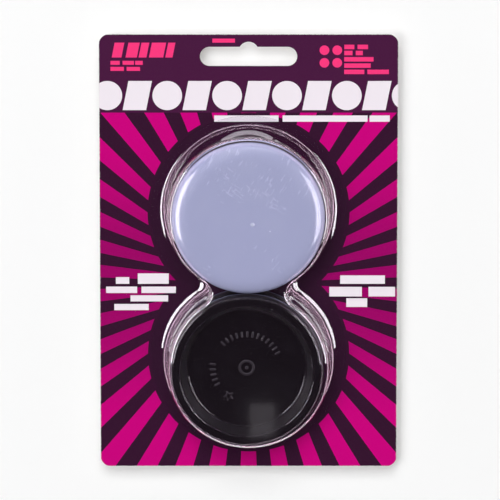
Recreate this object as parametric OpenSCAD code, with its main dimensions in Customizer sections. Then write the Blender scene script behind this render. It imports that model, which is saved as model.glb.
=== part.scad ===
// Carded pack of round furniture sliders. A clear thermoformed blister with two
// joined round pockets is sealed to a hanging card, and each pocket holds a
// stack of two loose sliders. A slider is a hard dished sole that slides on the
// floor, with a soft black cup pressed into it that takes the furniture foot.
// The pack lies on the back of its card: +Z comes out of the printed face and
// +Y runs to the hanging slot. The origin is the centre of the card's back.

/* [Backing card] */
// Width of the card
card_w = 117; // [112:1:126]
// Height of the card
card_h = 173.5; // [170:0.5:186]
// Thickness of the board
card_t = 0.5; // [0.4:0.05:0.8]
// Radius of the card's corners
card_corner_r = 4.2; // [2:0.2:8]
// Length of the hanging slot, tip to tip
slot_w = 38; // [32:0.5:42]
// Height of the hanging slot
slot_h = 7.6; // [6:0.2:9]
// Distance from the card's top edge to the middle of the slot
slot_below_edge = 8.8; // [7.5:0.1:11]
// Radius of the round peg hole at the middle of the slot
peg_hole_r = 4; // [3.2:0.1:5]
// How far the peg hole's centre lies above the middle of the slot
peg_hole_rise = 1.8; // [1:0.1:2.4]

/* [Slider sole] */
// Diameter of a slider
slider_d = 60; // [57:0.5:62]
// Thickness of the sole under the cup
sole_floor_t = 1.3; // [1.2:0.1:2.4]
// Height of the sole, up to the top of its lip
sole_h = 4; // [3.6:0.1:5]
// Thickness of the lip round the sole
sole_lip_t = 2; // [1.8:0.1:2.6]
// How far the rounded edge reaches in from the rim
sole_edge_w = 7; // [5:0.5:8]
// Height of the rounded edge
sole_edge_h = 3.4; // [3:0.1:3.6]
// Radius of the moulding mark on the sliding face
gate_mark_r = 0.9; // [0.5:0.1:1.5]
// Height of the moulding mark
gate_mark_h = 0.12; // [0.08:0.02:0.2]
// How far the moulding mark lies off the slider's axis
gate_mark_off = 2.6; // [0:0.1:6]
// Direction of the moulding mark, seen on the sliding face
gate_mark_dir = -50; // [-180:5:180]

/* [Slider cup] */
// Thickness of the whole slider
slider_t = 9.5; // [8:0.25:11]
// Width of the rim, from the outside of the slider to the cup's mouth
rim_w = 3.8; // [2.5:0.05:4.5]
// How far the wall slopes in from the mouth to the floor
wall_slope_w = 2.95; // [1.5:0.05:4]
// Thickness of the cup's floor
cup_floor_t = 0.9; // [0.7:0.1:1.8]
// Radius of the rim's outer edge
rim_r = 1.4; // [1:0.1:1.6]
// Radius of the rim's inner edge
mouth_edge_r = 0.7; // [0.3:0.1:0.9]
// Gap between the cup's plug and the sole's lip
plug_gap = 0.1; // [0.05:0.05:0.2]
// Inner radius of the raised ring at the middle of the floor
centre_ring_r = 2.3; // [1.8:0.1:3]
// Width of that ring
centre_ring_w = 0.8; // [0.5:0.1:1.2]
// Radius of the pip inside the ring
pip_r = 0.6; // [0.4:0.1:0.9]
// Height of the ring, pip, ribs and star above the floor
relief_h = 0.3; // [0.2:0.05:0.5]
// Radius of the circle that the short ribs follow
rib_circle_r = 13.4; // [11:0.2:16]
// Length of a rib, across that circle
rib_l = 2.2; // [1.5:0.1:3]
// Width of a rib
rib_w = 0.7; // [0.5:0.1:1]
// Ribs in the long row
long_row_ribs = 13; // [7:1:13]
// Ribs in the short row
short_row_ribs = 5; // [3:1:7]
// Angle between two ribs
rib_step = 9; // [7:0.5:9.5]
// Direction of the middle of the long row
long_row_dir = 80; // [75:1:85]
// Direction of the middle of the short row
short_row_dir = 192; // [185:1:195]
// Outer radius of the moulded star
star_r = 2.2; // [1.5:0.1:3]
// Distance of the star from the slider's axis
star_out = 13.4; // [12:0.1:17]
// Direction of the star
star_dir = 238; // [234:1:255]

/* [Blister] */
// Thickness of the clear film
film_t = 0.35; // [0.25:0.05:0.5]
// Room round the top of a slider in its pocket
pocket_gap = 1.3; // [0.8:0.05:1.6]
// Gap between the two pockets' sliders at the neck
slider_spacing = 1; // [0.9:0.1:4]
// Gap over and under each slider in a stack
stack_gap = 0.3; // [0.2:0.05:0.5]
// How much wider the foot of the wall is than its top, each side
wall_spread = 0.6; // [0.4:0.1:1.5]
// How far the two feet are drawn together at the neck
foot_draw = 2; // [0.5:0.1:2.5]
// Radius of the neck's inward bend at the top
neck_top_r = 5; // [4:0.5:9]
// Radius of the neck's inward bend where the flange begins
neck_foot_r = 2.2; // [1.8:0.1:6]
// Radius of the blister's top edge
top_edge_r = 1.6; // [1:0.1:2]
// Radius of the wide bend in which the wall runs out into the flange
foot_bend_r = 3.2; // [2.8:0.1:4]
// Width of the flange sealed to the card, beyond that bend
flange_w = 3; // [2.5:0.1:5]
// Radius of the flange's inward bend at the neck
neck_flange_r = 2; // [1:0.5:5]
// How far the blister's middle lies below the card's middle
blister_drop = 12.6; // [11:0.2:14]

/* [Loose sliders] */
// Share of the room in its pocket that the upper stack has slid through
upper_slip_share = 0.8; // [0:0.1:0.8]
// Direction in which the upper stack has slid
upper_slip_dir = -100; // [-180:5:180]
// Share of the room in its pocket that the lower stack has slid through
lower_slip_share = 0.8; // [0:0.1:0.8]
// Direction in which the lower stack has slid
lower_slip_dir = -135; // [-180:5:180]
// How far the front slider of the upper stack has turned
upper_front_turn = 0; // [-180:5:180]
// How far the rear slider of the upper stack has turned
upper_rear_turn = 35; // [-180:5:180]
// How far the front slider of the lower stack has turned
lower_front_turn = 0; // [-180:5:180]
// How far the rear slider of the lower stack has turned
lower_rear_turn = 115; // [-180:5:180]

/* [Hidden] */

// Steps in a quarter turn of a moulded edge, and in the blister's outline
edge_steps = 6;
film_edge_steps = 3;
foot_bend_steps = 5;
lobe_steps = 28;
neck_steps = 8;
// Facets of a full turn
round_fn = 96;
// How far the mouth's edge turns before the sloping wall takes over
mouth_edge_turn = 70;
// How far a raised mark is sunk into the floor that carries it, and the overrun of cuts
sink = 0.2;

slider_r = slider_d / 2;
lip_inner_r = slider_r - sole_lip_t;
plug_r = lip_inner_r - plug_gap;
cup_floor_z = sole_floor_t + cup_floor_t;
mouth_r = slider_r - rim_w;
cup_floor_r = mouth_r - wall_slope_w;

// The stack, from the card's face up
rear_z = card_t + stack_gap;
front_z = rear_z + slider_t + stack_gap;
film_inner_z = front_z + slider_t + stack_gap;
film_outer_z = film_inner_z + film_t;

// The blister's outline at the top, at the foot of its wall and where its flange begins:
// lobe radius, half the distance between lobe centres, and the neck's radius
top_lobe_r = slider_r + pocket_gap + film_t;
wall_lobe_r = top_lobe_r + wall_spread;
foot_lobe_r = wall_lobe_r + foot_bend_r;
half_pitch = (slider_d + slider_spacing) / 2;
foot_half_pitch = half_pitch - foot_draw;
neck_wall_r = neck_top_r - wall_spread;
wall_lean = atan(wall_spread / (film_outer_z - card_t));

// Where a round edge stands r wide and h tall, from straight down to straight out
function quarter(x, z, r, h, steps) =
  [for (i = [0 : steps]) let (t = 90 * i / steps) [x + r * sin(t), z - h * cos(t)]];

// The sole: a dish with a wide soft edge below and a thin lip above
function sole_profile() = concat(
  [[0, 0]],
  quarter(slider_r - sole_edge_w, sole_edge_h, sole_edge_w, sole_edge_h, edge_steps),
  [[slider_r, sole_h], [lip_inner_r, sole_h], [lip_inner_r, sole_floor_t], [0, sole_floor_t]]
);

// The cup: a plug in the sole, a shoulder on the lip, a rounded rim and a sloping wall
function cup_profile() = concat(
  [[0, sole_floor_t], [plug_r, sole_floor_t], [plug_r, sole_h], [slider_r, sole_h]],
  [for (i = [0 : edge_steps]) let (t = 90 * i / edge_steps)
    [slider_r - rim_r + rim_r * cos(t), slider_t - rim_r + rim_r * sin(t)]],
  [for (i = [0 : edge_steps]) let (t = 90 + mouth_edge_turn * i / edge_steps)
    [mouth_r + mouth_edge_r + mouth_edge_r * cos(t), slider_t - mouth_edge_r + mouth_edge_r * sin(t)]],
  [
    [cup_floor_r, cup_floor_z],
    [centre_ring_r + centre_ring_w, cup_floor_z],
    [centre_ring_r + centre_ring_w, cup_floor_z + relief_h],
    [centre_ring_r, cup_floor_z + relief_h],
    [centre_ring_r, cup_floor_z],
    [pip_r, cup_floor_z],
    [pip_r, cup_floor_z + relief_h],
    [0, cup_floor_z + relief_h]
  ]
);

// The left side of a two-lobed outline round [0, 0], from its top to its bottom: lobes
// of radius r whose centres lie p above and below, joined by a bend of radius b
function left_side(r, p, b) =
  let (neck_x = sqrt(pow(r + b, 2) - pow(p, 2)), lean = atan2(p, neck_x))
  concat(
    [for (i = [0 : lobe_steps]) let (t = 90 + (90 + lean) * i / lobe_steps)
      [r * cos(t), p + r * sin(t)]],
    [for (i = [1 : neck_steps - 1]) let (t = lean - 2 * lean * i / neck_steps)
      [-neck_x + b * cos(t), b * sin(t)]],
    [for (i = [0 : lobe_steps]) let (t = 180 - lean + (90 + lean) * i / lobe_steps)
      [r * cos(t), -p + r * sin(t)]]
  );

// The whole outline: the left side down, and the same side mirrored back up
function lobed_outline(r, p, b) =
  let (side = left_side(r, p, b))
  concat(side, [for (i = [len(side) - 2 : -1 : 1]) [-side[i][0], side[i][1]]]);

function ring_at(outline, z) = [for (p = outline) [p[0], p[1], z]];

// One ring of the top edge at angle t, on a face that lies deep inside the outer one
function top_ring(t, deep) =
  let (r = top_edge_r - deep, in = top_edge_r - r * cos(t))
  ring_at(
    lobed_outline(top_lobe_r - in, half_pitch, neck_top_r + in),
    film_outer_z - top_edge_r + r * sin(t)
  );

// One ring of the wide bend at angle t, on a face that lies deep under the outer one
function foot_ring(t, deep) =
  let (part = 1 + cos(t), in = -deep * cos(t))
  ring_at(
    lobed_outline(
      wall_lobe_r + foot_bend_r * part - in,
      half_pitch - foot_draw * part,
      neck_wall_r + (neck_foot_r - neck_wall_r) * part + in
    ),
    card_t + film_t + foot_bend_r + (foot_bend_r + deep) * sin(t)
  );

function flange_ring(z) =
  ring_at(lobed_outline(foot_lobe_r + flange_w, foot_half_pitch, neck_flange_r), z);

function top_angle(i) = wall_lean + (90 - wall_lean) * i / film_edge_steps;
function foot_angle(i) = 180 + wall_lean + (90 - wall_lean) * i / foot_bend_steps;

// Every ring of the film in order: down the inside, out under the flange, and up the outside
film_rings = concat(
  [for (i = [film_edge_steps : -1 : 0]) top_ring(top_angle(i), film_t)],
  [for (i = [0 : foot_bend_steps]) foot_ring(foot_angle(i), film_t)],
  [flange_ring(card_t), flange_ring(card_t + film_t)],
  [for (i = [foot_bend_steps : -1 : 0]) foot_ring(foot_angle(i), 0)],
  [for (i = [0 : film_edge_steps]) top_ring(top_angle(i), 0)]
);

// Triangles that close a mirrored ring of n points, from its left side to its right
function end_faces(n) = concat(
  [for (i = [0 : n / 2 - 2]) [i, i + 1, n - i - 1]],
  [for (i = [1 : n / 2 - 1]) [i, n - i - 1, n - i]]
);

// A closed solid through a list of mirrored rings that all have n points
module skin(rings) {
  n = len(rings[0]);
  last = len(rings) - 1;
  polyhedron(
    points = [for (ring = rings) each ring],
    faces = concat(
      end_faces(n),
      [for (k = [0 : last - 1], i = [0 : n - 1]) let (a = k * n, b = a + n, j = (i + 1) % n)
        each [[a + i, b + i, b + j], [a + i, b + j, a + j]]],
      [for (face = end_faces(n)) [for (k = [2 : -1 : 0]) last * n + face[k]]]
    )
  );
}

module rounded_plate(w, h, r) {
  square([w - 2 * r, h], center = true);
  square([w, h - 2 * r], center = true);
  for (x = [-1, 1], y = [-1, 1])
    translate([x * (w / 2 - r), y * (h / 2 - r)]) circle(r, $fn = round_fn);
}

module hanging_slot() {
  square([slot_w - slot_h, slot_h], center = true);
  for (x = [-1, 1])
    translate([x * (slot_w - slot_h) / 2, 0]) circle(slot_h / 2, $fn = round_fn);
  translate([0, peg_hole_rise]) circle(peg_hole_r, $fn = round_fn);
}

module backing_card() {
  color("mediumvioletred")
    linear_extrude(card_t)
      difference() {
        rounded_plate(card_w, card_h, card_corner_r);
        translate([0, card_h / 2 - slot_below_edge]) hanging_slot();
      }
}

module blister() {
  color("lavender", 0.4)
    translate([0, -blister_drop, 0]) skin(film_rings);
}

module slider_sole() {
  color("lightsteelblue") {
    rotate_extrude($fn = round_fn) polygon(sole_profile());
    rotate([0, 0, -gate_mark_dir])
      translate([gate_mark_off, 0, -gate_mark_h])
        cylinder(r = gate_mark_r, h = gate_mark_h + sink, $fn = round_fn);
  }
}

module star(r) {
  inner_share = 0.42;
  polygon([for (i = [0 : 9]) let (t = 90 + 36 * i, s = i % 2 == 0 ? r : r * inner_share)
    [s * cos(t), s * sin(t)]]);
}

// A row of short ribs, each across the rib circle, with its middle at direction dir
module rib_row(count, dir) {
  for (i = [0 : count - 1])
    rotate([0, 0, dir + rib_step * (i - (count - 1) / 2)])
      translate([rib_circle_r - rib_l / 2, -rib_w / 2, cup_floor_z - sink])
        cube([rib_l, rib_w, relief_h + sink]);
}

module slider_cup() {
  color("black") {
    rotate_extrude($fn = round_fn) polygon(cup_profile());
    rib_row(long_row_ribs, long_row_dir);
    rib_row(short_row_ribs, short_row_dir);
    rotate([0, 0, star_dir])
      translate([star_out, 0, cup_floor_z - sink])
        linear_extrude(relief_h + sink) star(star_r);
  }
}

// Moves a slider's piece from the middle of the blister to where its stack lies
module in_pocket(side, slip_share, slip_dir) {
  slip = pocket_gap * slip_share;
  translate([slip * cos(slip_dir), slip * sin(slip_dir) + side * half_pitch - blister_drop, 0])
    children();
}

// Puts a slider's piece in a pocket, with the slider's underside at height z. The upper
// stack has its soles outwards and the lower stack its cups.
module in_upper_pocket(z, turn) {
  in_pocket(1, upper_slip_share, upper_slip_dir)
    translate([0, 0, z + slider_t]) rotate([180, 0, turn]) children();
}

module in_lower_pocket(z, turn) {
  in_pocket(-1, lower_slip_share, lower_slip_dir)
    translate([0, 0, z]) rotate([0, 0, turn]) children();
}

module upper_front() { in_upper_pocket(front_z, upper_front_turn) children(); }
module upper_rear() { in_upper_pocket(rear_z, upper_rear_turn) children(); }
module lower_front() { in_lower_pocket(front_z, lower_front_turn) children(); }
module lower_rear() { in_lower_pocket(rear_z, lower_rear_turn) children(); }

backing_card();
blister();
upper_front() slider_sole();  // upper_front_slider_sole
upper_front() slider_cup();  // upper_front_slider_cup
upper_rear() slider_sole();  // upper_rear_slider_sole
upper_rear() slider_cup();  // upper_rear_slider_cup
lower_front() slider_sole();  // lower_front_slider_sole
lower_front() slider_cup();  // lower_front_slider_cup
lower_rear() slider_sole();  // lower_rear_slider_sole
lower_rear() slider_cup();  // lower_rear_slider_cup
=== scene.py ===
"""Dresses a carded pack of furniture sliders: its card, clear blister, soles and cups."""

import math
from collections import namedtuple

import bpy
from mathutils import Matrix, Vector


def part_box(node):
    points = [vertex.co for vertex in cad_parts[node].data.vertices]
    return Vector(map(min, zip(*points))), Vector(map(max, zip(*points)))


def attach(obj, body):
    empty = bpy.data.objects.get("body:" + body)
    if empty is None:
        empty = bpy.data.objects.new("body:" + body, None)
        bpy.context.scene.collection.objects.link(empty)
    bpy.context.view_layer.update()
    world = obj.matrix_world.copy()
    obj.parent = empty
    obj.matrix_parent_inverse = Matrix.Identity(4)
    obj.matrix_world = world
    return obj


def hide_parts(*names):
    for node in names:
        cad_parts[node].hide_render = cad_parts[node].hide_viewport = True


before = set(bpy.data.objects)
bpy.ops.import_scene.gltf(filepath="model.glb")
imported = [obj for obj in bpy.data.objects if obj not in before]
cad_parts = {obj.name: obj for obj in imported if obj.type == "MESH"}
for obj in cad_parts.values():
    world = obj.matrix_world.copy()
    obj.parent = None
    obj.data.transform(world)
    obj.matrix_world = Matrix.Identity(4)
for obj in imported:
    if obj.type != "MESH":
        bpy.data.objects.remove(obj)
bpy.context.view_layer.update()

bl_info = {
    "name": "Furniture Slider Pack",
    "version": (1, 0, 0),
    "blender": (4, 5, 0),
    "location": "3D View > Sidebar > Slider Pack",
    "description": "Models the looks of a carded pack of round furniture sliders",
    "category": "Object",
}

MM = 0.001
# How near two places count as one, and how far a raised mark is sunk into its floor
SPECK = 0.01 * MM
SINK = 0.2 * MM
WHITE = (1.0, 1.0, 1.0, 1.0)
CARD_LOW, CARD_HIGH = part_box("backing_card")
FILM_LOW, FILM_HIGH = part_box("blister")
FILM_MIDDLE = (FILM_LOW + FILM_HIGH) / 2
FILM_REACH = (FILM_HIGH.x - FILM_LOW.x) / 2

# Each slider, whether its sole faces outwards, and by how many degrees it has turned
SLIDERS = (
    ("upper_front", True, 0),
    ("upper_rear", True, 35),
    ("lower_front", False, 0),
    ("lower_rear", False, 115),
)


def length(name, description, millimetres):
    """A length property, with its default given in millimetres."""
    return bpy.props.FloatProperty(
        name=name,
        description=description,
        default=millimetres * MM,
        min=0.0,
        precision=5,
        unit="LENGTH",
    )


def angle(name, description, degrees):
    """An angle property, with its default given in degrees."""
    return bpy.props.FloatProperty(
        name=name,
        description=description,
        default=math.radians(degrees),
        subtype="ANGLE",
        unit="ROTATION",
    )


def count(name, description, default):
    """A whole-number property."""
    return bpy.props.IntProperty(name=name, description=description, default=default, min=1)


def share(name, description, default):
    """A property for a share or strength with no unit."""
    return bpy.props.FloatProperty(
        name=name,
        description=description,
        default=default,
        min=0.0,
        subtype="FACTOR",
        soft_max=1.0,
    )


def linear_tint(red, green, blue):
    """A screen colour, 0 to 255 each, as the linear colour that a shader takes."""
    shades = []
    for level in (red, green, blue):
        value = level / 255
        if value <= 0.04045:
            shades.append(value / 12.92)
        else:
            shades.append(((value + 0.055) / 1.055) ** 2.4)
    return (*shades, 1.0)


def tint(name, description, red, green, blue):
    """A colour property, with its default given as a screen colour."""
    return bpy.props.FloatVectorProperty(
        name=name,
        description=description,
        default=linear_tint(red, green, blue),
        size=4,
        min=0.0,
        max=1.0,
        subtype="COLOR",
    )


class CardPrint(bpy.types.PropertyGroup):
    """The print on the backing card."""

    header_foot: length("Header foot", "Height of the header's lower edge over the middle", 55.6)
    rays: count("Rays", "Bright rays in the burst round the blister", 38)
    ray_share: share("Ray width", "Share of a step in the burst that is bright", 0.52)
    band_foot: length("Band foot", "Height of the band's lower edge over the middle", 56.6)
    band_height: length("Band height", "Height of the headline band", 11.6)
    band_pitch: length("Band pitch", "Distance at which the band's block and disc repeat", 23.4)
    band_gap: length("Band gap", "Width of the gaps in the headline band", 1.3)
    plum: tint("Plum", "Ink of the header", 74, 26, 64)
    deep_plum: tint("Deep plum", "Ink between the rays and round the blister", 54, 20, 47)
    ground_margin: length("Ground margin", "Plain ground beyond the blister's foot", 4.2)
    magenta: tint("Magenta", "Ink of the rays at the top and the foot", 206, 0, 126)
    # The rays take this darker magenta near the height of the blister's waist
    deep_magenta: tint("Deep magenta", "Ink of the rays at the blister's waist", 158, 4, 102)
    pink: tint("Pink", "Ink of the small print in the header", 255, 60, 130)
    white: tint("White", "Ink of the headline and the claims", 247, 238, 246)
    board: tint("Board", "Raw board at the cut edges", 236, 233, 232)
    back: tint("Back", "Uncoated back of the card", 214, 208, 200)


class BlisterFilm(bpy.types.PropertyGroup):
    """The thermoformed clear film."""

    thickness: length("Thickness", "Thickness of the film", 0.33)
    flange_w: length("Flange", "Width of the flange beyond the wall", 3.0)
    wall_spread: length("Wall spread", "How much wider the wall's foot is than its top", 0.6)
    foot_bend_r: length("Foot bend", "Radius of the wide bend from the wall to the flange", 3.2)
    bend_rings: count("Bend rings", "Rings that shape the wide bend", 10)
    foot_draw: length("Foot draw", "How far the two feet are drawn together at the neck", 2.0)
    film_edge: length("Film edge", "Height of the film's flange over the card", 0.35)
    top_edge_r: length("Top edge", "Radius of the top edge", 2.1)
    neck_top_r: length("Neck at the top", "Radius of the neck's bend at the top", 5.0)
    neck_foot_r: length("Neck at the foot", "Its radius where the flange begins", 2.2)
    neck_flange_r: length("Neck at the flange", "Radius of the flange's bend at the neck", 2.0)
    lobe_steps: count("Lobe steps", "Steps in each lobe's arc", 144)
    neck_steps: count("Neck steps", "Steps in each bend of the neck", 28)
    index: share("Index", "Index of refraction of the film", 1.57)
    clear: tint("Film", "Tint of the film", 252, 251, 254)
    shade: bpy.props.FloatVectorProperty(
        name="Shade",
        description="Colour of the light that the film lets through",
        default=(0.955, 0.955, 0.96, 1.0),
        size=4,
        min=0.0,
        max=1.0,
        subtype="COLOR",
    )


class SliderSole(bpy.types.PropertyGroup):
    """The hard dished sole."""

    radius: length("Radius", "Radius of a slider", 30.0)
    floor_t: length("Floor", "Thickness of the sole under the cup", 1.3)
    height: length("Height", "Height of the sole up to its lip", 4.0)
    lip_t: length("Lip", "Thickness of the lip", 2.0)
    edge_w: length("Edge width", "How far the rounded edge reaches in", 7.0)
    edge_h: length("Edge height", "Height of the rounded edge", 3.4)
    mark_r: length("Mark radius", "Radius of the moulding mark", 0.9)
    mark_h: length("Mark height", "Height of the moulding mark", 0.12)
    mark_off: length("Mark offset", "Distance of the moulding mark from the axis", 2.6)
    mark_dir: angle("Mark direction", "Direction of the moulding mark on the sliding face", -50)
    plastic: tint("Plastic", "Blue-grey of the sole", 179, 183, 218)
    # The paler tone of rubbed places and scuffs, also used as a painted highlight on the moulding
    # mark
    pale: tint("Rubbed plastic", "Paler tone of rubbed places", 206, 210, 234)


class SliderCup(bpy.types.PropertyGroup):
    """The soft cup that takes a furniture foot."""

    thickness: length("Thickness", "Thickness of the whole slider", 9.5)
    rim_w: length("Rim", "Width of the rim", 3.8)
    slope_w: length("Slope", "How far the wall slopes in", 2.95)
    floor_t: length("Floor", "Thickness of the cup's floor", 0.9)
    rim_r: length("Rim edge", "Radius of the rim's outer edge", 1.8)
    mouth_edge_r: length("Mouth edge", "Radius of the rim's inner edge", 1.2)
    floor_edge_r: length("Floor edge", "Radius where the wall meets the floor", 1.5)
    plug_gap: length("Plug gap", "Gap between the plug and the sole's lip", 0.1)
    ring_r: length("Ring", "Inner radius of the ring at the middle", 2.3)
    ring_w: length("Ring width", "Width of that ring", 0.8)
    pip_r: length("Pip", "Radius of the pip in the ring", 0.6)
    relief_h: length("Relief", "Height of the raised marks", 0.3)
    relief_edge_r: length("Relief edge", "Rounding of the raised marks", 0.28)
    rib_circle_r: length("Rib circle", "Radius of the circle of ribs", 13.4)
    rib_l: length("Rib length", "Length of a rib", 2.2)
    rib_w: length("Rib width", "Width of a rib", 0.7)
    rib_step: angle("Rib step", "Angle between two ribs", 9)
    long_row: count("Long row", "Ribs in the long row", 13)
    short_row: count("Short row", "Ribs in the short row", 5)
    long_row_dir: angle("Long row direction", "Direction of the middle of the long row", 80)
    short_row_dir: angle("Short row direction", "Direction of the middle of the short row", 192)
    star_r: length("Star", "Outer radius of the star", 2.2)
    star_out: length("Star distance", "Distance of the star from the axis", 13.4)
    star_dir: angle("Star direction", "Direction of the star", 238)
    rubber: tint("Rubber", "Near-black of the cup", 20, 16, 21)
    bloom: tint("Bloom", "Grey film on the rubber", 34, 31, 37)
    # Painted highlight: the pale grey drawn on the rounded edges of the raised marks, in place of
    # the light they catch
    rubbed_and_painted_highlight: tint("Rubbed edges", "Grey of the rubbed edges of the raised marks", 98, 91, 99)


class Studio(bpy.types.PropertyGroup):
    """Camera, lamps and floor."""

    distance: length("Distance", "Distance of the camera from the card", 2500)
    view_width: length("View width", "Width of the picture at the card", 196.4)
    tilt: angle("Tilt", "How far the camera leans over the card's top edge", 12)
    aim_x: length("Aim X", "How far right of the card's middle the camera looks", 0.55)
    aim_y: length("Aim Y", "How far above the card's middle the camera looks", 0.7)
    floor_size: length("Floor", "Side of the floor", 8000)
    riser: length("Riser", "Height of the riser under the card", 7.0)
    riser_inset: length("Riser inset", "How far the riser lies inside the card's edges", 14.0)
    floor_tint: tint("Floor colour", "Colour of the floor", 250, 250, 250)
    floor_glow: share("Floor glow", "Share of the floor's white that needs no light", 0.2)
    dome: share("Dome", "Brightness of the pale dome", 0.9)
    horizon: share("Horizon", "Brightness of the dome's foot in what is glossy", 10.0)
    zenith: share("Zenith", "Brightness straight above", 0.03)
    gleam: tint("Gleam", "Colour of the near strips in what is glossy", 251, 245, 252)
    haze: tint("Haze", "Colour of the dome's foot in what is glossy", 255, 216, 243)


# One lamp: its name, its place, its width and height in millimetres, its brightness, and
# whether it lights the pack or only shows in what is glossy
Lamp = namedtuple("Lamp", "name place width height brightness lights")
LAMPS = (
    Lamp("left_box", (-2200, 400, 4900), 2600, 2800, 5.3, True),
    Lamp("top_box", (-300, 3000, 4500), 2800, 2600, 8.0, True),
    Lamp("right_box", (2600, 0, 4500), 2200, 2400, 1.3, True),
    Lamp("left_strip", (-150, 12, 135), 160, 70, 13.5, False),
    Lamp("right_strip", (150, 12, 135), 160, 85, 10.0, False),
    Lamp("top_strip", (0, 190, 150), 220, 40, 3.0, False),
    Lamp("small_window", (7.5, -345, 1194), 14.6, 19.0, 0.4, False),
)


def select_only(piece):
    """Deselects everything else and makes this piece the active one."""
    bpy.ops.object.select_all(action="DESELECT")
    piece.select_set(True)
    bpy.context.view_layer.objects.active = piece


def add_shape(add, **settings):
    """Adds a new mesh by its operator, with nothing else selected."""
    bpy.ops.object.select_all(action="DESELECT")
    add(**settings)
    return bpy.context.object


def open_mesh():
    """Goes to edit mode with all of the active piece's mesh selected."""
    bpy.ops.object.mode_set(mode="EDIT")
    bpy.ops.mesh.select_all(action="SELECT")


def close_mesh():
    """Turns all faces of the open mesh outwards and leaves edit mode."""
    bpy.ops.mesh.select_all(action="SELECT")
    bpy.ops.mesh.normals_make_consistent(inside=False)
    bpy.ops.object.mode_set(mode="OBJECT")


def apply_place(piece):
    """Moves the piece's place, turn and scale into its mesh."""
    select_only(piece)
    bpy.ops.object.transform_apply(location=True, rotation=True, scale=True)


def apply_modifier(piece, kind, **settings):
    """Adds one modifier, sets it and applies it."""
    select_only(piece)
    bpy.ops.object.modifier_add(type=kind)
    modifier = piece.modifiers[-1]
    for name, value in settings.items():
        setattr(modifier, name, value)
    bpy.ops.object.modifier_apply(modifier=modifier.name)


def smooth(piece, degrees=32):
    """Shades the piece smooth, with edges sharper than the angle kept crisp."""
    select_only(piece)
    bpy.ops.object.shade_smooth_by_angle(angle=math.radians(degrees))


def rounded_profile(corners, steps=6):
    """The points of a profile whose corners, (radius, height, rounding), are rounded off."""
    points = []
    for index, (radius, height, rounding) in enumerate(corners):
        corner = Vector((radius, height))
        if rounding == 0:
            points.append(corner)
            continue
        back = (Vector(corners[index - 1][:2]) - corner).normalized()
        ahead = (Vector(corners[index + 1][:2]) - corner).normalized()
        half = back.angle(ahead) / 2
        centre = corner + (back + ahead).normalized() * rounding / math.sin(half)
        spoke = corner + back * rounding / math.tan(half) - centre
        turn = math.copysign(math.pi - 2 * half, back.cross(ahead))
        for step in range(steps + 1):
            points.append(centre + Matrix.Rotation(-turn * step / steps, 2) @ spoke)
    return points


def turn_piece(name, profile, segments=128):
    """A closed turned piece: a disc drawn out ring by ring to each (radius, height) point."""
    radius, height = profile[0]
    circle = bpy.ops.mesh.primitive_circle_add
    place = (0, 0, height)
    piece = add_shape(circle, vertices=segments, radius=radius, fill_type="NGON", location=place)
    piece.name = name
    apply_place(piece)
    open_mesh()
    for next_radius, next_height in profile[1:]:
        rise = (0, 0, next_height - height)
        bpy.ops.mesh.extrude_region_move(TRANSFORM_OT_translate={"value": rise})
        grow = next_radius / radius
        bpy.ops.transform.resize(value=(grow, grow, 1), center_override=(0, 0, next_height))
        radius = next_radius
        height = next_height
    close_mesh()
    return piece


def fuse(piece, others):
    """Unites the other pieces with this one and removes them."""
    for other in others:
        apply_modifier(piece, "BOOLEAN", operation="UNION", solver="EXACT", object=other)
        bpy.data.objects.remove(other)


def copy_piece(piece, name):
    """A copy of the piece with its own mesh."""
    twin = piece.copy()
    twin.data = piece.data.copy()
    twin.name = name
    bpy.context.scene.collection.objects.link(twin)
    return twin


def place_in_stack(piece, slider, sole_out, degrees):
    """Puts a piece, modelled at the origin with its sole down, where its slider lies."""
    cup = bpy.context.scene.slider_cup
    low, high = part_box(slider + "_slider_cup")
    turn = Matrix.Rotation(math.radians(degrees), 4, "Z")
    if sole_out:
        flip = Matrix.Rotation(math.pi, 4, "X")
        base = low.z + cup.thickness
    else:
        flip = Matrix.Identity(4)
        base = high.z - cup.thickness
    middle = Vector(((low.x + high.x) / 2, (low.y + high.y) / 2, base))
    piece.matrix_world = Matrix.Translation(middle) @ turn @ flip
    apply_place(piece)


# Shader building

def add_node(tree, kind, **settings):
    """Adds a node and sets its properties."""
    made = tree.nodes.new(kind)
    for name, value in settings.items():
        setattr(made, name, value)
    return made


def feed(tree, socket, value):
    """Links another socket to this one, or sets a plain value on it."""
    if isinstance(value, bpy.types.NodeSocket):
        tree.links.new(value, socket)
    else:
        socket.default_value = value


def maths(tree, operation, *values, clamp=False):
    """One Math node, and its output."""
    made = add_node(tree, "ShaderNodeMath", operation=operation, use_clamp=clamp)
    for socket, value in zip(made.inputs, values):
        feed(tree, socket, value)
    return made.outputs[0]


def ramp(tree, value, low, high, to_low=0.0, to_high=1.0):
    """Maps low to high on to another range, with soft ends."""
    made = add_node(tree, "ShaderNodeMapRange", interpolation_type="SMOOTHSTEP")
    for socket, given in zip(made.inputs, (value, low, high, to_low, to_high)):
        feed(tree, socket, given)
    return made.outputs[0]


def plus(tree, base, pattern, share, clamp=False):
    """A base value with a share of a pattern added."""
    return maths(tree, "MULTIPLY_ADD", pattern, share, base, clamp=clamp)


def split(tree, vector):
    """The X, Y and Z of a vector."""
    made = add_node(tree, "ShaderNodeSeparateXYZ")
    feed(tree, made.inputs[0], vector)
    return made.outputs


def blend(tree, share_of_second, first, second):
    """Mixes two colours."""
    made = add_node(tree, "ShaderNodeMix", data_type="RGBA")
    feed(tree, made.inputs["Factor"], share_of_second)
    colour_sockets = [s for s in made.inputs if s.type == "RGBA"]
    feed(tree, colour_sockets[0], first)
    feed(tree, colour_sockets[1], second)
    return [s for s in made.outputs if s.type == "RGBA"][0]


def either(tree, masks):
    """The largest of several masks."""
    total = masks[0]
    for mask in masks[1:]:
        total = maths(tree, "MAXIMUM", total, mask)
    return total


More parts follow.
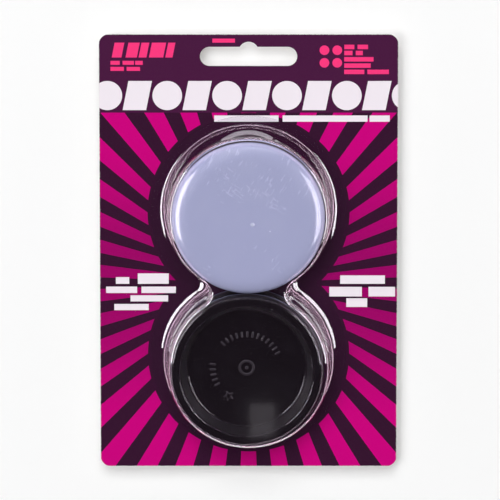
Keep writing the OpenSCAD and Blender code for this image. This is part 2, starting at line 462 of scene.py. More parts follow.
def noise(tree, point, scale, detail=2.0):
    """A noise pattern's value."""
    made = add_node(tree, "ShaderNodeTexNoise")
    feed(tree, made.inputs["Vector"], point)
    feed(tree, made.inputs["Scale"], scale)
    feed(tree, made.inputs["Detail"], detail)
    return made.outputs["Fac"]


def start_group(name, numbers, outputs):
    """A new node group that takes a point and some numbers, and its sockets by name."""
    group = bpy.data.node_groups.new(name, "ShaderNodeTree")
    group.interface.new_socket("Point", in_out="INPUT", socket_type="NodeSocketVector")
    for label in numbers:
        group.interface.new_socket(label, in_out="INPUT", socket_type="NodeSocketFloat")
    for label in outputs:
        group.interface.new_socket(label, in_out="OUTPUT", socket_type="NodeSocketFloat")
    entry = group.nodes.new("NodeGroupInput")
    way_out = group.nodes.new("NodeGroupOutput")
    return group, entry.outputs, way_out.inputs


def use_group(tree, name, **values):
    """Places a node group in a material and feeds its inputs."""
    made = add_node(tree, "ShaderNodeGroup", node_tree=bpy.data.node_groups[name])
    for label, value in values.items():
        feed(tree, made.inputs[label.replace("_", " ")], value)
    return made.outputs


def printed_words_group():
    """A line of small print, as plain bars of ink with gaps between the words."""
    group, given, result = start_group(
        "Printed words",
        ("Left", "Foot", "Width", "Height", "Word", "Gap", "Slant"),
        ("Mask",),
    )
    x, y, z = split(group, given["Point"])
    rise = maths(group, "SUBTRACT", y, given["Foot"])
    along = maths(group, "SUBTRACT", x, given["Left"])
    along = maths(group, "SUBTRACT", along, maths(group, "MULTIPLY", rise, given["Slant"]))
    half_w = maths(group, "MULTIPLY", given["Width"], 0.5)
    half_h = maths(group, "MULTIPLY", given["Height"], 0.5)
    in_width = maths(group, "COMPARE", along, half_w, half_w)
    in_height = maths(group, "COMPARE", rise, half_h, half_h)
    steps = maths(group, "DIVIDE", along, given["Word"])
    uneven_share = 0.16
    uneven_rate = 2.7
    sway = maths(group, "SINE", maths(group, "MULTIPLY", steps, uneven_rate))
    steps = plus(group, steps, sway, uneven_share)
    gap = maths(group, "DIVIDE", given["Gap"], given["Word"])
    in_word = maths(group, "GREATER_THAN", maths(group, "FRACT", steps), gap)
    mask = maths(group, "MULTIPLY", in_width, in_height)
    feed(group, result["Mask"], maths(group, "MULTIPLY", mask, in_word))


def dust_group():
    """Small specks of dust, some in each cell of a grid."""
    group, given, result = start_group("Dust", ("Density", "Size", "Amount"), ("Mask",))
    cells = add_node(group, "ShaderNodeTexVoronoi")
    feed(group, cells.inputs["Vector"], given["Point"])
    feed(group, cells.inputs["Scale"], given["Density"])
    chance = add_node(group, "ShaderNodeSeparateColor")
    feed(group, chance.inputs[0], cells.outputs["Color"])
    chosen = maths(group, "LESS_THAN", chance.outputs[0], given["Amount"])
    reach = maths(group, "MULTIPLY", given["Size"], chance.outputs[1])
    near = maths(group, "LESS_THAN", cells.outputs["Distance"], reach)
    feed(group, result["Mask"], maths(group, "MULTIPLY", near, chosen))


def scuffs_group():
    """Short straight scratches, in patches."""
    group, given, result = start_group("Scuffs", ("Turn", "Density", "Patches"), ("Mask",))
    thinness = 5.0
    turned = add_node(group, "ShaderNodeVectorRotate")
    feed(group, turned.inputs["Vector"], given["Point"])
    feed(group, turned.inputs["Angle"], given["Turn"])
    drawn = add_node(group, "ShaderNodeMapping")
    feed(group, drawn.inputs["Vector"], turned.outputs["Vector"])
    drawn.inputs["Scale"].default_value = (1.0, thinness, 1.0)
    lines = noise(group, drawn.outputs["Vector"], given["Density"], detail=1.0)
    patches = noise(group, given["Point"], given["Patches"], detail=0.0)
    thin = ramp(group, lines, low=0.62, high=0.68)
    here = ramp(group, patches, low=0.56, high=0.62)
    feed(group, result["Mask"], maths(group, "MULTIPLY", thin, here))


def grain_group():
    """The fine grain and slow blotches of a moulded or coated surface."""
    group, given, result = start_group(
        "Moulded grain", ("Grain", "Blotch"), ("Fine", "Blotches")
    )
    feed(group, result["Fine"], noise(group, given["Point"], given["Grain"], detail=3.0))
    feed(group, result["Blotches"], noise(group, given["Point"], given["Blotch"], detail=4.0))


# The name of the attribute that tells the raised marks from what they stand on
MARKS = "marks"


def note_marks(piece, belongs):
    """Notes on the mesh which points belong to raised marks, by a test of their place."""
    marks = piece.data.attributes.new(MARKS, "FLOAT", "POINT")
    for vertex in piece.data.vertices:
        marks.data[vertex.index].value = float(belongs(vertex.co))


def marks_mask(tree):
    """The mask of the raised marks, as noted on the mesh."""
    return add_node(tree, "ShaderNodeAttribute", attribute_name=MARKS).outputs["Fac"]


def start_material(name):
    """A new material with only its output, and the point on the surface that it shades."""
    material = bpy.data.materials.new(name)
    material.use_nodes = True
    tree = material.node_tree
    tree.nodes.clear()
    output = add_node(tree, "ShaderNodeOutputMaterial")
    point = add_node(tree, "ShaderNodeTexCoord").outputs["Object"]
    return material, tree, output.inputs["Surface"], point


def principled(tree, surface, **values):
    """A Principled shader on the material's surface, with its inputs fed."""
    shader = add_node(tree, "ShaderNodeBsdfPrincipled")
    for label, value in values.items():
        feed(tree, shader.inputs[label.replace("_", " ")], value)
    tree.links.new(shader.outputs[0], surface)
    return shader


def mix_shaders(tree, surface, share_of_second, first, second):
    """Puts a mix of two shaders on the material's surface."""
    mix = add_node(tree, "ShaderNodeMixShader")
    feed(tree, mix.inputs[0], share_of_second)
    tree.links.new(first.outputs[0], mix.inputs[1])
    tree.links.new(second.outputs[0], mix.inputs[2])
    tree.links.new(mix.outputs[0], surface)


def bump(tree, height, strength, distance):
    """A bump from a height pattern, and the normal that it gives."""
    made = add_node(tree, "ShaderNodeBump")
    made.inputs["Strength"].default_value = strength
    made.inputs["Distance"].default_value = distance
    feed(tree, made.inputs["Height"], height)
    return made.outputs["Normal"]


# A line of small print, in millimetres from the middle of the card
PrintLine = namedtuple("PrintLine", "left foot width height word")
PINK_LINES = (
    PrintLine(-54.4, 74.6, 13.6, 1.6, 4.6),
    PrintLine(-54.4, 72.2, 12.0, 1.6, 6.4),
    PrintLine(-14.6, 83.4, 10.2, 1.6, 10.4),
    PrintLine(36.8, 80.8, 9.8, 1.8, 5.0),
    PrintLine(36.8, 78.4, 7.8, 1.8, 4.2),
    PrintLine(36.8, 75.9, 13.0, 1.8, 13.4),
    PrintLine(36.8, 73.4, 11.8, 1.8, 12.2),
    PrintLine(36.8, 70.9, 18.0, 1.8, 9.4),
)
WHITE_LINES = (
    PrintLine(-14.2, 52.0, 69.4, 2.5, 29.0),
    PrintLine(-53.0, -12.9, 6.6, 2.7, 6.8),
    PrintLine(-44.8, -12.9, 14.8, 4.2, 15.0),
    PrintLine(-56.8, -16.6, 28.2, 2.6, 14.5),
    PrintLine(-47.2, -20.0, 17.0, 2.5, 17.4),
    PrintLine(-53.6, -23.5, 15.6, 2.5, 16.0),
    PrintLine(35.0, -12.9, 20.4, 3.4, 20.8),
    PrintLine(30.6, -18.0, 27.0, 3.9, 15.6),
    PrintLine(37.4, -22.2, 10.0, 3.5, 10.4),
)
# The header's slanted pink blocks, and the four dots that stand for four sliders
TITLE_BLOCK = PrintLine(-54.1, 77.5, 24.4, 5.9, 5.0)
SLANT = 0.2
DOT_R = 1.9
DOT_PLACES = ((29.6, 80.4), (34.6, 80.4), (29.6, 75.4), (34.6, 75.4))


def words(tree, point, line, gap_share=0.42, slant=0.0):
    """The mask of one line of small print, with gaps as a share of its height."""
    return use_group(
        tree, "Printed words",
        Point=point,
        Left=line.left * MM,
        Foot=line.foot * MM,
        Width=line.width * MM,
        Height=line.height * MM,
        Word=line.word * MM,
        Gap=gap_share * line.height * MM,
        Slant=slant,
    )["Mask"]


def distance_from(tree, point, x, y):
    """How far each point lies from an upright axis."""
    flat = add_node(tree, "ShaderNodeVectorMath", operation="MULTIPLY")
    feed(tree, flat.inputs[0], point)
    flat.inputs[1].default_value = (1, 1, 0)
    away = add_node(tree, "ShaderNodeVectorMath", operation="DISTANCE")
    feed(tree, away.inputs[0], flat.outputs[0])
    away.inputs[1].default_value = (x, y, 0)
    return away.outputs["Value"]


def dot(tree, point, x, y):
    """The mask of one printed dot."""
    return maths(tree, "LESS_THAN", distance_from(tree, point, x * MM, y * MM), DOT_R * MM)


def burst_mask(tree, x, y, prints):
    """Bright rays from the blister's waist, and how far from its height each point lies."""
    up = maths(tree, "SUBTRACT", y, FILM_MIDDLE.y)
    turn = maths(tree, "DIVIDE", maths(tree, "ARCTAN2", x, up), 2 * math.pi)
    steps = maths(tree, "MULTIPLY_ADD", turn, float(prints.rays), 0.5 * prints.ray_share)
    rays = maths(tree, "LESS_THAN", maths(tree, "FRACT", steps), prints.ray_share)
    return rays, maths(tree, "ABSOLUTE", up)


def ground_mask(tree, point, margin):
    """The plain ground under the blister and just round its foot."""
    film = bpy.context.scene.blister_film
    ground_r = FILM_REACH - film.flange_w + margin
    lobes = []
    for y in (FILM_HIGH.y - FILM_REACH, FILM_LOW.y + FILM_REACH):
        lobes.append(maths(tree, "LESS_THAN", distance_from(tree, point, 0, y), ground_r))
    return either(tree, lobes)


def band_mask(tree, x, y, prints):
    """The headline band: slanted white blocks and discs by turns, running off both sides."""
    disc_r = prints.band_height / 2
    rise = maths(tree, "SUBTRACT", y, prints.band_foot + disc_r)
    inside = maths(tree, "LESS_THAN", maths(tree, "ABSOLUTE", rise), disc_r)
    along = maths(tree, "ADD", x, 3 * prints.band_pitch + prints.band_gap)
    slanted = maths(tree, "MULTIPLY_ADD", rise, -SLANT, along)
    block = maths(tree, "MODULO", slanted, prints.band_pitch)
    block_w = prints.band_pitch - 2 * disc_r - 2 * prints.band_gap
    block = maths(tree, "MULTIPLY", inside, maths(tree, "LESS_THAN", block, block_w))
    off = maths(tree, "MODULO", along, prints.band_pitch)
    off = maths(tree, "SUBTRACT", off, block_w + prints.band_gap + disc_r)
    squares = [maths(tree, "POWER", side, 2.0) for side in (off, rise)]
    disc = maths(tree, "LESS_THAN", maths(tree, "SQRT", maths(tree, "ADD", *squares)), disc_r)
    return maths(tree, "MAXIMUM", block, disc)


def printed_card_material():
    """Glossy print on white board, with cut edges and an uncoated back."""
    prints = bpy.context.scene.card_print
    material, tree, surface, point = start_material("printed_card")
    x, y, z = split(tree, point)
    grain = use_group(tree, "Moulded grain", Point=point, Grain=2600.0, Blotch=60.0)

    rays, from_waist = burst_mask(tree, x, y, prints)
    # The rays darken towards the height of the blister's waist, fully within 5 mm of it and not at
    # all beyond 60 mm
    reach = ramp(tree, from_waist, low=5 * MM, high=60 * MM)
    bright = blend(tree, reach, prints.deep_magenta, prints.magenta)
    ink = blend(tree, rays, prints.deep_plum, bright)
    ink = blend(tree, ground_mask(tree, point, prints.ground_margin), ink, prints.deep_plum)
    ink = blend(tree, maths(tree, "GREATER_THAN", y, prints.header_foot), ink, prints.plum)
    pink_marks = [words(tree, point, line) for line in PINK_LINES]
    pink_marks.append(words(tree, point, TITLE_BLOCK, gap_share=0.16, slant=SLANT))
    pink_marks += [dot(tree, point, *spot) for spot in DOT_PLACES]
    ink = blend(tree, either(tree, pink_marks), ink, prints.pink)
    white_marks = [words(tree, point, line) for line in WHITE_LINES]
    white_marks.append(band_mask(tree, x, y, prints))
    ink = blend(tree, either(tree, white_marks), ink, prints.white)

    front_skin = 0.08 * MM
    printed = maths(tree, "GREATER_THAN", z, CARD_HIGH.z - front_skin)
    behind = maths(tree, "LESS_THAN", z, CARD_LOW.z + front_skin)
    board = blend(tree, behind, prints.board, prints.back)
    mottle = ramp(tree, grain["Blotches"], low=0.3, high=0.7, to_high=0.25)
    board = blend(tree, mottle, board, prints.white)
    from_edges = []
    for place, half in ((x, CARD_HIGH.x), (y, CARD_HIGH.y)):
        from_edges.append(maths(tree, "SUBTRACT", half, maths(tree, "ABSOLUTE", place)))
    chip = plus(tree, maths(tree, "MINIMUM", *from_edges), grain["Fine"], share=-0.5 * MM)
    worn = ramp(tree, chip, low=-0.12 * MM, high=-0.02 * MM, to_low=0.8, to_high=0.0)
    ink = blend(tree, worn, ink, prints.board)
    specks = ramp(tree, grain["Fine"], low=0.35, high=0.75, to_high=0.004)
    ink = blend(tree, specks, ink, prints.white)

    principled(
        tree, surface,
        Base_Color=blend(tree, printed, board, ink),
        Roughness=plus(tree, 0.5, grain["Blotches"], share=0.2),
        Specular_IOR_Level=0.0,
        Coat_Weight=printed,
        Coat_Roughness=0.05,
        Coat_IOR=1.65,
        Normal=bump(tree, grain["Fine"], strength=0.08, distance=0.05 * MM),
    )
    return material


def clear_film_material():
    """Clear thermoformed film that lets the lamps through."""
    film = bpy.context.scene.blister_film
    material, tree, surface, point = start_material("clear_film")
    drawn_out = 0.2
    draw = add_node(tree, "ShaderNodeMapping")
    feed(tree, draw.inputs["Vector"], point)
    draw.inputs["Scale"].default_value = (1.0, 1.0, drawn_out)
    waves = noise(tree, draw.outputs["Vector"], scale=45.0, detail=0.0)
    dust = use_group(tree, "Dust", Point=point, Density=240.0, Size=0.05, Amount=0.10)["Mask"]
    glass = principled(
        tree, surface,
        Base_Color=film.clear,
        Roughness=plus(tree, 0.025, dust, share=0.5),
        IOR=film.index,
        Transmission_Weight=1.0,
        Normal=bump(tree, waves, strength=0.02, distance=0.2 * MM),
    )
    through = add_node(tree, "ShaderNodeBsdfTransparent")
    through.inputs["Color"].default_value = film.shade
    rays = add_node(tree, "ShaderNodeLightPath").outputs
    lit = either(tree, [rays["Is Shadow Ray"], rays["Is Diffuse Ray"]])
    mix_shaders(tree, surface, lit, glass, through)
    return material


def sole_material():
    """Hard satin plastic with faint blotches and scuffs."""
    sole = bpy.context.scene.slider_sole
    material, tree, surface, point = start_material("sole_plastic")
    grain = use_group(tree, "Moulded grain", Point=point, Grain=1800.0, Blotch=85.0)
    cross = use_group(tree, "Scuffs", Point=point, Turn=0.6, Density=330.0, Patches=60.0)
    other = use_group(tree, "Scuffs", Point=point, Turn=2.1, Density=280.0, Patches=45.0)
    nicks = use_group(tree, "Dust", Point=point, Density=150.0, Size=0.07, Amount=0.16)
    scuffed = either(tree, [marks["Mask"] for marks in (cross, other, nicks)])
    rubbed_and_painted_highlight = ramp(tree, grain["Blotches"], low=0.42, high=0.72, to_high=0.10)
    pale = plus(tree, rubbed_and_painted_highlight, scuffed, share=0.24)
    # Painted highlight: the moulding mark is drawn in the paler tone, in place of the light it
    # catches
    pale = plus(tree, pale, marks_mask(tree), share=0.80, clamp=True)
    roughness = plus(tree, 0.14, grain["Blotches"], share=0.06)
    height = plus(tree, grain["Fine"], scuffed, share=-0.3)
    principled(
        tree, surface,
        Base_Color=blend(tree, pale, sole.plastic, sole.pale),
        Roughness=plus(tree, roughness, scuffed, share=0.15),
        Specular_IOR_Level=0.9,
        Normal=bump(tree, height, strength=0.06, distance=0.05 * MM),
    )
    return material


def cup_material():
    """Soft black moulding with a faint bloom and specks of dust."""
    cup = bpy.context.scene.slider_cup
    material, tree, surface, point = start_material("cup_rubber")
    grain = use_group(tree, "Moulded grain", Point=point, Grain=2200.0, Blotch=110.0)
    dust = use_group(tree, "Dust", Point=point, Density=330.0, Size=0.09, Amount=0.06)["Mask"]
    dust_share = 0.6
    dust_grey = (0.5, 0.48, 0.5, 1.0)
    bloom = ramp(tree, grain["Blotches"], low=0.45, high=0.75, to_high=0.3)
    colour = blend(tree, bloom, cup.rubber, cup.bloom)
    colour = blend(tree, maths(tree, "MULTIPLY", dust, dust_share), colour, dust_grey)
    roughness = plus(tree, 0.05, grain["Blotches"], share=0.06)
    lie = split(tree, add_node(tree, "ShaderNodeNewGeometry").outputs["Normal"])
    flatness = maths(tree, "ABSOLUTE", lie["Z"])
    # The sloping wall is duller than the floor, and the rounded edges of the raised marks get a
    # painted highlight in pale grey
    dull_side = ramp(tree, flatness, low=0.42, high=0.52, to_low=0.40, to_high=0.0)
    edges = maths(tree, "MULTIPLY", marks_mask(tree), ramp(tree, flatness, low=0.99, high=0.90))
    colour = blend(tree, edges, colour, cup.rubbed_and_painted_highlight)
    principled(
        tree, surface,
        Base_Color=colour,
        Roughness=maths(tree, "ADD", roughness, dull_side),
        Normal=bump(tree, grain["Fine"], strength=0.03, distance=0.05 * MM),
    )
    return material


def floor_material():
    """Pale painted floor with a faint unevenness."""
    studio = bpy.context.scene.studio
    material, tree, surface, point = start_material("floor_paint")
    dim_share = 0.985
    dimmer = (*(value * dim_share for value in studio.floor_tint[:3]), 1.0)
    colour = blend(tree, noise(tree, point, scale=3.0), studio.floor_tint, dimmer)
    shader = principled(tree, surface, Base_Color=colour, Roughness=0.9, Specular_IOR_Level=0.1)
    glow = add_node(tree, "ShaderNodeEmission")
    rays = add_node(tree, "ShaderNodeLightPath").outputs
    seen = either(tree, [rays["Is Camera Ray"], rays["Is Glossy Ray"], rays["Is Transmission Ray"]])
    mix_shaders(tree, surface, maths(tree, "MULTIPLY", seen, studio.floor_glow), shader, glow)
    return material


def finish_piece(piece, material, body, nodes):
    """Gives a finished piece its material and its body, and hides the nodes it stands for."""
    piece.data.materials.clear()
    piece.data.materials.append(material)
    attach(piece, body)
    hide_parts(*nodes)


def copy_to_sliders(master, part, material):
    """Gives each slider its own copy of a modelled part, and removes the one copied."""
    for slider, sole_out, degrees in SLIDERS:
        piece = copy_piece(master, f"{slider}_{part}")
        place_in_stack(piece, slider, sole_out, degrees)
        body = slider + "_slider"
        finish_piece(piece, material, body, [f"{body}_{part}"])
    bpy.data.objects.remove(master)


class PACK_OT_print_card(bpy.types.Operator):
    """Prints the backing card"""

    bl_idname = "slider_pack.print_card"
    bl_label = "Print card"

    def execute(self, context):
        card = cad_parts["backing_card"]
        card.data.materials.clear()
        card.data.materials.append(printed_card_material())
        return {"FINISHED"}


def draw_ring(radius, half_pitch, neck_r, height, film):
    """Draws one two-lobed ring in the open mesh, by spinning a point round its six arcs."""
    middle = Vector((*FILM_MIDDLE.xy, height))
    neck_x = math.sqrt((radius + neck_r) ** 2 - half_pitch**2)
    lean = math.atan2(half_pitch, neck_x)
    start = middle + Vector((0, half_pitch + radius, 0))
    bpy.ops.mesh.select_all(action="DESELECT")
    bpy.ops.mesh.primitive_plane_add(size=SPECK, location=start)
    bpy.ops.mesh.merge(type="CENTER")
    lobe_turn = math.pi / 2 + lean
    arcs = (
        ((0, half_pitch), lobe_turn, film.lobe_steps),
        ((-neck_x, 0), -2 * lean, film.neck_steps),
        ((0, -half_pitch), 2 * lobe_turn, 2 * film.lobe_steps),
        ((neck_x, 0), -2 * lean, film.neck_steps),
        ((0, half_pitch), lobe_turn, film.lobe_steps),
    )
    for (x, y), turn, steps in arcs:
        centre = middle + Vector((x, y, 0))
        bpy.ops.mesh.spin(steps=steps, angle=-turn, center=centre, axis=(0, 0, 1))


def select_where(piece, test):
    """Selects the open mesh's vertices for which the test holds."""
    bpy.ops.mesh.select_all(action="DESELECT")
    bpy.ops.object.mode_set(mode="OBJECT")
    for vertex in piece.data.vertices:
        vertex.select = test(vertex)
    for edge in piece.data.edges:
        edge.select = all(piece.data.vertices[v].select for v in edge.vertices)
    bpy.ops.object.mode_set(mode="EDIT")


class PACK_OT_form_blister(bpy.types.Operator):
    """Forms the clear blister from rings drawn round both its lobes"""

    bl_idname = "slider_pack.form_blister"
    bl_label = "Form blister"

    def execute(self, context):
        film = context.scene.blister_film
        foot_r = FILM_REACH - film.flange_w
        foot_pitch = (FILM_HIGH.y - FILM_LOW.y) / 2 - foot_r - film.flange_w
        pitch = foot_pitch + film.foot_draw
        wall_r = foot_r - film.foot_bend_r
        wall_neck_r = film.neck_top_r - film.wall_spread
        base_z = FILM_LOW.z + film.film_edge

        piece = add_shape(bpy.ops.mesh.primitive_plane_add, size=MM)
        piece.name = "blister_film"
        open_mesh()
        bpy.ops.mesh.delete(type="VERT")
        heights = [FILM_HIGH.z]
        draw_ring(wall_r - film.wall_spread, pitch, film.neck_top_r, FILM_HIGH.z, film)
        for step in range(film.bend_rings + 1):
            turn = math.pi / 2 * step / film.bend_rings
            part = 1 - math.cos(turn)
            heights.append(base_z + film.foot_bend_r * (1 - math.sin(turn)))
            draw_ring(
                wall_r + film.foot_bend_r * part,
                pitch - film.foot_draw * part,
                wall_neck_r + (film.neck_foot_r - wall_neck_r) * part,
                heights[-1],
                film,
            )
        # The flange's ring is bridged from below and lifted after, because a bridge
        # between two rings at one height can cross over
        heights.append(base_z - film.flange_w)
        draw_ring(foot_r + film.flange_w, foot_pitch, film.neck_flange_r, heights[-1], film)
        bpy.ops.mesh.select_all(action="SELECT")
        bpy.ops.mesh.remove_doubles(threshold=SPECK)
        for pair in zip(heights, heights[1:]):
            select_where(piece, lambda vertex: min(abs(vertex.co.z - z) for z in pair) < SPECK)
            bpy.ops.mesh.bridge_edge_loops()
        select_where(piece, lambda vertex: vertex.co.z < base_z - SPECK)
        bpy.ops.transform.translate(value=(0, 0, film.flange_w))
        select_where(piece, lambda vertex: vertex.co.z > FILM_HIGH.z - SPECK)
        bpy.ops.mesh.edge_face_add()
        bpy.ops.mesh.select_all(action="SELECT")
        bpy.ops.mesh.normals_make_consistent(inside=False)
        self.round_top_edge(piece, film)
        bpy.ops.object.mode_set(mode="OBJECT")
        apply_modifier(piece, "SOLIDIFY", thickness=film.thickness, offset=-1.0)
        smooth(piece, degrees=40)
        finish_piece(piece, clear_film_material(), "pack", ["blister"])
        return {"FINISHED"}

    def round_top_edge(self, piece, film):
        """Rounds the edge between the wall and the top."""
        wall_h = FILM_HIGH.z - FILM_LOW.z - film.film_edge - film.foot_bend_r
        lean = math.atan2(film.wall_spread, wall_h)
        reach = film.top_edge_r * math.tan(math.pi / 4 - lean / 2)
        bpy.ops.mesh.select_mode(type="EDGE")
        bpy.ops.mesh.select_all(action="DESELECT")
        bpy.ops.mesh.edges_select_sharp(sharpness=math.radians(40))
        bpy.ops.object.mode_set(mode="OBJECT")
        for edge in piece.data.edges:
            ends = [piece.data.vertices[v].co.z for v in edge.vertices]
            edge.select = edge.select and min(ends) > FILM_HIGH.z - SPECK
        bpy.ops.object.mode_set(mode="EDIT")
        bpy.ops.mesh.bevel(offset=reach, offset_type="OFFSET", segments=12, affect="EDGES")
        # A narrow ring at the top's rim keeps the rest of the top shading flat
        bpy.ops.mesh.select_mode(type="FACE")
        bpy.ops.mesh.select_all(action="DESELECT")
        bpy.ops.object.mode_set(mode="OBJECT")
        top = max(piece.data.polygons, key=lambda face: face.area)
        top.select = True
        bpy.ops.object.mode_set(mode="EDIT")
        bpy.ops.mesh.inset(thickness=film.thickness / 2)
        bpy.ops.mesh.select_mode(type="VERT")


class PACK_OT_mould_soles(bpy.types.Operator):
    """Moulds one sole and copies it to the four sliders"""

    bl_idname = "slider_pack.mould_soles"
    bl_label = "Mould soles"

    def execute(self, context):
        sole = context.scene.slider_sole
        flat_r = sole.radius - sole.edge_w
        steps = 14
        edge = []
        for step in range(steps + 1):
            t = math.pi / 2 * step / steps
            edge.append((flat_r + sole.edge_w * math.sin(t), sole.edge_h * (1 - math.cos(t))))
        lip_r = sole.radius - sole.lip_t
        lip_edge = 0.15 * MM
        lip = rounded_profile([
            (sole.radius, sole.edge_h, 0),
            (sole.radius, sole.height, lip_edge),
            (lip_r, sole.height, lip_edge),
            (lip_r, sole.floor_t, 0),
        ], steps=3)
        flat_ring = 0.25 * MM
        profile = [(flat_r - flat_ring, 0), *edge, *lip[1:]]
        master = turn_piece("sole_master", profile)
        self.add_mark(master, sole)
        smooth(master, degrees=22)
        note_marks(master, lambda place: place.z < -SPECK)
        copy_to_sliders(master, "sole", sole_material())
        return {"FINISHED"}

    def add_mark(self, master, sole):
        """Fuses the small round moulding mark to the sliding face."""
        slope_w = 0.28 * MM
        mark = turn_piece("mark", [
            (sole.mark_r - slope_w, -sole.mark_h),
            (sole.mark_r, 0),
            (sole.mark_r, SINK),
        ], segments=32)
        mark.location.x = sole.mark_off * math.cos(-sole.mark_dir)
        mark.location.y = sole.mark_off * math.sin(-sole.mark_dir)
        apply_place(mark)
        fuse(master, [mark])


class PACK_OT_mould_cups(bpy.types.Operator):
    """Moulds one cup with its ribs and star, and copies it to the four sliders"""

    bl_idname = "slider_pack.mould_cups"
    bl_label = "Mould cups"

    def execute(self, context):
        cup = context.scene.slider_cup
        sole = context.scene.slider_sole
        master = turn_piece("cup_master", self.profile(cup, sole))
        floor_z = sole.floor_t + cup.floor_t
        fuse(master, [self.rib_rows(cup, floor_z), self.star(cup, floor_z)])
        smooth(master)
        marks_r = cup.rib_circle_r + cup.rib_l
        marks_z = floor_z + SPECK
        note_marks(master, lambda place: place.z > marks_z and place.xy.length < marks_r)
        copy_to_sliders(master, "cup", cup_material())
        return {"FINISHED"}

    def profile(self, cup, sole):
        """The cup's turned outline, from its plug up over the rim and down to the pip."""
        plug_r = sole.radius - sole.lip_t - cup.plug_gap
        mouth_r = sole.radius - cup.rim_w
        floor_r = mouth_r - cup.slope_w
        floor_z = sole.floor_t + cup.floor_t
        ring_out = cup.ring_r + cup.ring_w
        relief_z = floor_z + cup.relief_h
        edge = cup.relief_edge_r
        seam = 0.15 * MM
        return rounded_profile([
            (plug_r, sole.floor_t, 0),
            (plug_r, sole.height, 0),
            (sole.radius, sole.height, seam),
            (sole.radius, cup.thickness, cup.rim_r),
            (mouth_r, cup.thickness, cup.mouth_edge_r),
            (floor_r, floor_z, cup.floor_edge_r),
            (floor_r - cup.floor_edge_r, floor_z, 0),
            (ring_out + edge, floor_z, 0),
            (ring_out, floor_z, 0),
            (ring_out, relief_z, edge),
            (cup.ring_r, relief_z, edge),
            (cup.ring_r, floor_z, 0),
            (cup.pip_r, floor_z, 0),
            (cup.pip_r, relief_z, edge),
            (cup.pip_r / 4, relief_z, 0),
        ])

    def rib_rows(self, cup, floor_z):
        """The two rows of short raised ribs, as one piece."""
        rib = add_shape(
            bpy.ops.mesh.primitive_cube_add,
            size=1,
            location=(cup.rib_circle_r, 0, floor_z + (cup.relief_h - SINK) / 2),
            scale=(cup.rib_l, cup.rib_w, cup.relief_h + SINK),
        )
        apply_place(rib)
        apply_modifier(rib, "BEVEL", width=cup.relief_edge_r, segments=4)
        rows = ((cup.long_row, cup.long_row_dir), (cup.short_row, cup.short_row_dir))
        copies = []
        for ribs, middle in rows:
            for index in range(ribs):
                twin = copy_piece(rib, "rib_copy")
                twin.rotation_euler.z = middle + cup.rib_step * (index - (ribs - 1) / 2)
                copies.append(twin)
        bpy.data.objects.remove(rib)
        bpy.ops.object.select_all(action="DESELECT")
        for twin in copies:
            twin.select_set(True)
        bpy.context.view_layer.objects.active = copies[0]
        bpy.ops.object.join()
        joined = bpy.context.object
        apply_place(joined)
        return joined

    def star(self, cup, floor_z):
        """The raised five-pointed star."""
        inner_share = 0.42
        edge_share = 0.7
        place = (0, 0, floor_z - SINK)
        circle = bpy.ops.mesh.primitive_circle_add
        star = add_shape(circle, vertices=10, radius=cup.star_r, fill_type="NGON", location=place)
        apply_place(star)
        open_mesh()
        select_where(star, lambda vertex: vertex.index % 2 == 1)
        bpy.ops.transform.resize(value=(inner_share, inner_share, 1), center_override=(0, 0, 0))
        bpy.ops.mesh.select_all(action="SELECT")
        rise = (0, 0, cup.relief_h + SINK)
        bpy.ops.mesh.extrude_region_move(TRANSFORM_OT_translate={"value": rise})
        close_mesh()
        apply_modifier(star, "BEVEL", width=cup.relief_edge_r * edge_share, segments=3)
        star.location.x = cup.star_out * math.cos(cup.star_dir)
        star.location.y = cup.star_out * math.sin(cup.star_dir)
        star.rotation_euler.z = cup.star_dir
        apply_place(star)
        return star


def aim_point(studio):
    """The point that the camera looks at."""
    return Vector((studio.aim_x, studio.aim_y, CARD_HIGH.z))


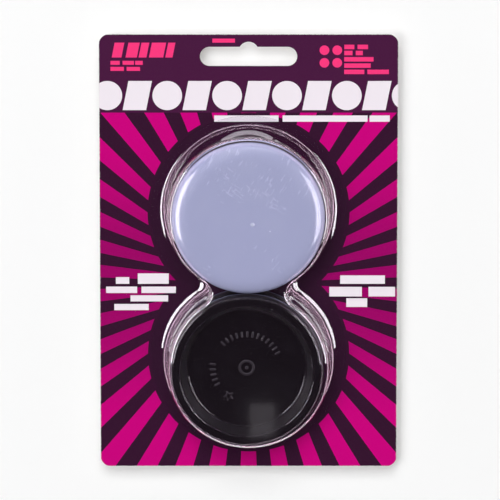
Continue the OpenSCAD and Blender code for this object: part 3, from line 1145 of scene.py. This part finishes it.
class PACK_OT_set_stage(bpy.types.Operator):
    """Sets up the camera, the lamps, the dome and the floor"""

    bl_idname = "slider_pack.set_stage"
    bl_label = "Set stage"

    def execute(self, context):
        studio = context.scene.studio
        self.add_camera(context, studio)
        for lamp in LAMPS:
            self.add_lamp(lamp, studio)
        self.add_dome(context, studio)
        self.add_floor(studio)
        context.scene.view_settings.view_transform = "Standard"
        return {"FINISHED"}

    def add_camera(self, context, studio):
        """A long lens that leans over the card's top edge."""
        back = Vector((0, math.sin(studio.tilt), math.cos(studio.tilt)))
        bpy.ops.object.camera_add(
            location=aim_point(studio) + back * studio.distance, rotation=(-studio.tilt, 0, 0)
        )
        camera = bpy.context.object
        camera.name = "pack_camera"
        camera.data.sensor_width = 36.0
        camera.data.lens = camera.data.sensor_width * studio.distance / studio.view_width
        context.scene.camera = camera

    def add_lamp(self, lamp, studio):
        """One soft box, facing the pack."""
        place = Vector(lamp.place) * MM
        bpy.ops.object.light_add(type="AREA", location=place)
        box = bpy.context.object
        box.name = lamp.name
        box.rotation_mode = "QUATERNION"
        box.rotation_quaternion = place.to_track_quat("Z", "Y")
        box.data.shape = "RECTANGLE"
        box.data.size = lamp.width * MM
        box.data.size_y = lamp.height * MM
        box.data.energy = lamp.brightness * math.pi * box.data.size * box.data.size_y
        if not lamp.lights:
            box.data.color = studio.gleam[:3]
        box.visible_camera = False
        box.visible_diffuse = lamp.lights
        box.visible_glossy = not lamp.lights
        box.visible_transmission = not lamp.lights

    def add_dome(self, context, studio):
        """A dome that is pale at the horizon and dark straight above."""
        world = bpy.data.worlds.new("dome")
        context.scene.world = world
        world.use_nodes = True
        tree = world.node_tree
        tree.nodes.clear()
        output = add_node(tree, "ShaderNodeOutputWorld")
        sky = add_node(tree, "ShaderNodeBackground")
        up = split(tree, add_node(tree, "ShaderNodeTexCoord").outputs["Generated"])["Z"]
        mirrored = add_node(tree, "ShaderNodeLightPath").outputs["Is Glossy Ray"]
        feed(tree, sky.inputs["Color"], blend(tree, mirrored, WHITE, studio.haze))
        level = ramp(tree, up, low=0.16, high=0.42, to_low=studio.dome, to_high=studio.zenith)
        glow = ramp(tree, up, low=0.06, high=0.17, to_low=studio.horizon, to_high=0.0)
        level = plus(tree, level, mirrored, glow)
        feed(tree, sky.inputs["Strength"], level)
        tree.links.new(sky.outputs[0], output.inputs["Surface"])

    def add_floor(self, studio):
        """A pale floor, with a low riser under the card."""
        place = (0, 0, -studio.riser)
        floor = add_shape(bpy.ops.mesh.primitive_plane_add, size=studio.floor_size, location=place)
        floor.name = "floor"
        width = CARD_HIGH.x - CARD_LOW.x - 2 * studio.riser_inset
        height = CARD_HIGH.y - CARD_LOW.y - 2 * studio.riser_inset
        riser = add_shape(
            bpy.ops.mesh.primitive_cube_add,
            size=1,
            location=(0, -studio.riser, -studio.riser / 2),
            scale=(width, height, studio.riser),
        )
        riser.name = "riser"
        apply_place(riser)
        apply_modifier(riser, "BEVEL", width=studio.riser / 4, segments=3)
        paint = floor_material()
        for part in (floor, riser):
            apply_place(part)
            part.data.materials.append(paint)


STEPS = (
    PACK_OT_print_card,
    PACK_OT_form_blister,
    PACK_OT_mould_soles,
    PACK_OT_mould_cups,
    PACK_OT_set_stage,
)
SETTINGS = (
    ("card_print", CardPrint),
    ("blister_film", BlisterFilm),
    ("slider_sole", SliderSole),
    ("slider_cup", SliderCup),
    ("studio", Studio),
)


class PACK_PT_sidebar(bpy.types.Panel):
    """Lists the steps and settings of the pack"""

    bl_idname = "PACK_PT_sidebar"
    bl_label = "Slider Pack"
    bl_space_type = "VIEW_3D"
    bl_region_type = "UI"
    bl_category = "Slider Pack"

    def draw(self, context):
        for step in STEPS:
            self.layout.operator(step.bl_idname)
        for name, group in SETTINGS:
            box = self.layout.box()
            box.label(text=group.__doc__)
            for field in group.__annotations__:
                box.prop(getattr(context.scene, name), field)


def register():
    """Adds the settings, the steps and the panel to Blender."""
    for name, group in SETTINGS:
        bpy.utils.register_class(group)
        setattr(bpy.types.Scene, name, bpy.props.PointerProperty(type=group))
    for step in STEPS:
        bpy.utils.register_class(step)
    bpy.utils.register_class(PACK_PT_sidebar)


def unregister():
    """Takes them away again."""
    bpy.utils.unregister_class(PACK_PT_sidebar)
    for step in reversed(STEPS):
        bpy.utils.unregister_class(step)
    for name, group in reversed(SETTINGS):
        delattr(bpy.types.Scene, name)
        bpy.utils.unregister_class(group)


def main():
    """Runs every step in order."""
    register()
    for build_group in (printed_words_group, dust_group, scuffs_group, grain_group):
        build_group()
    bpy.ops.slider_pack.print_card()
    bpy.ops.slider_pack.form_blister()
    bpy.ops.slider_pack.mould_soles()
    bpy.ops.slider_pack.mould_cups()
    bpy.ops.slider_pack.set_stage()


if __name__ == "__main__":
    main()
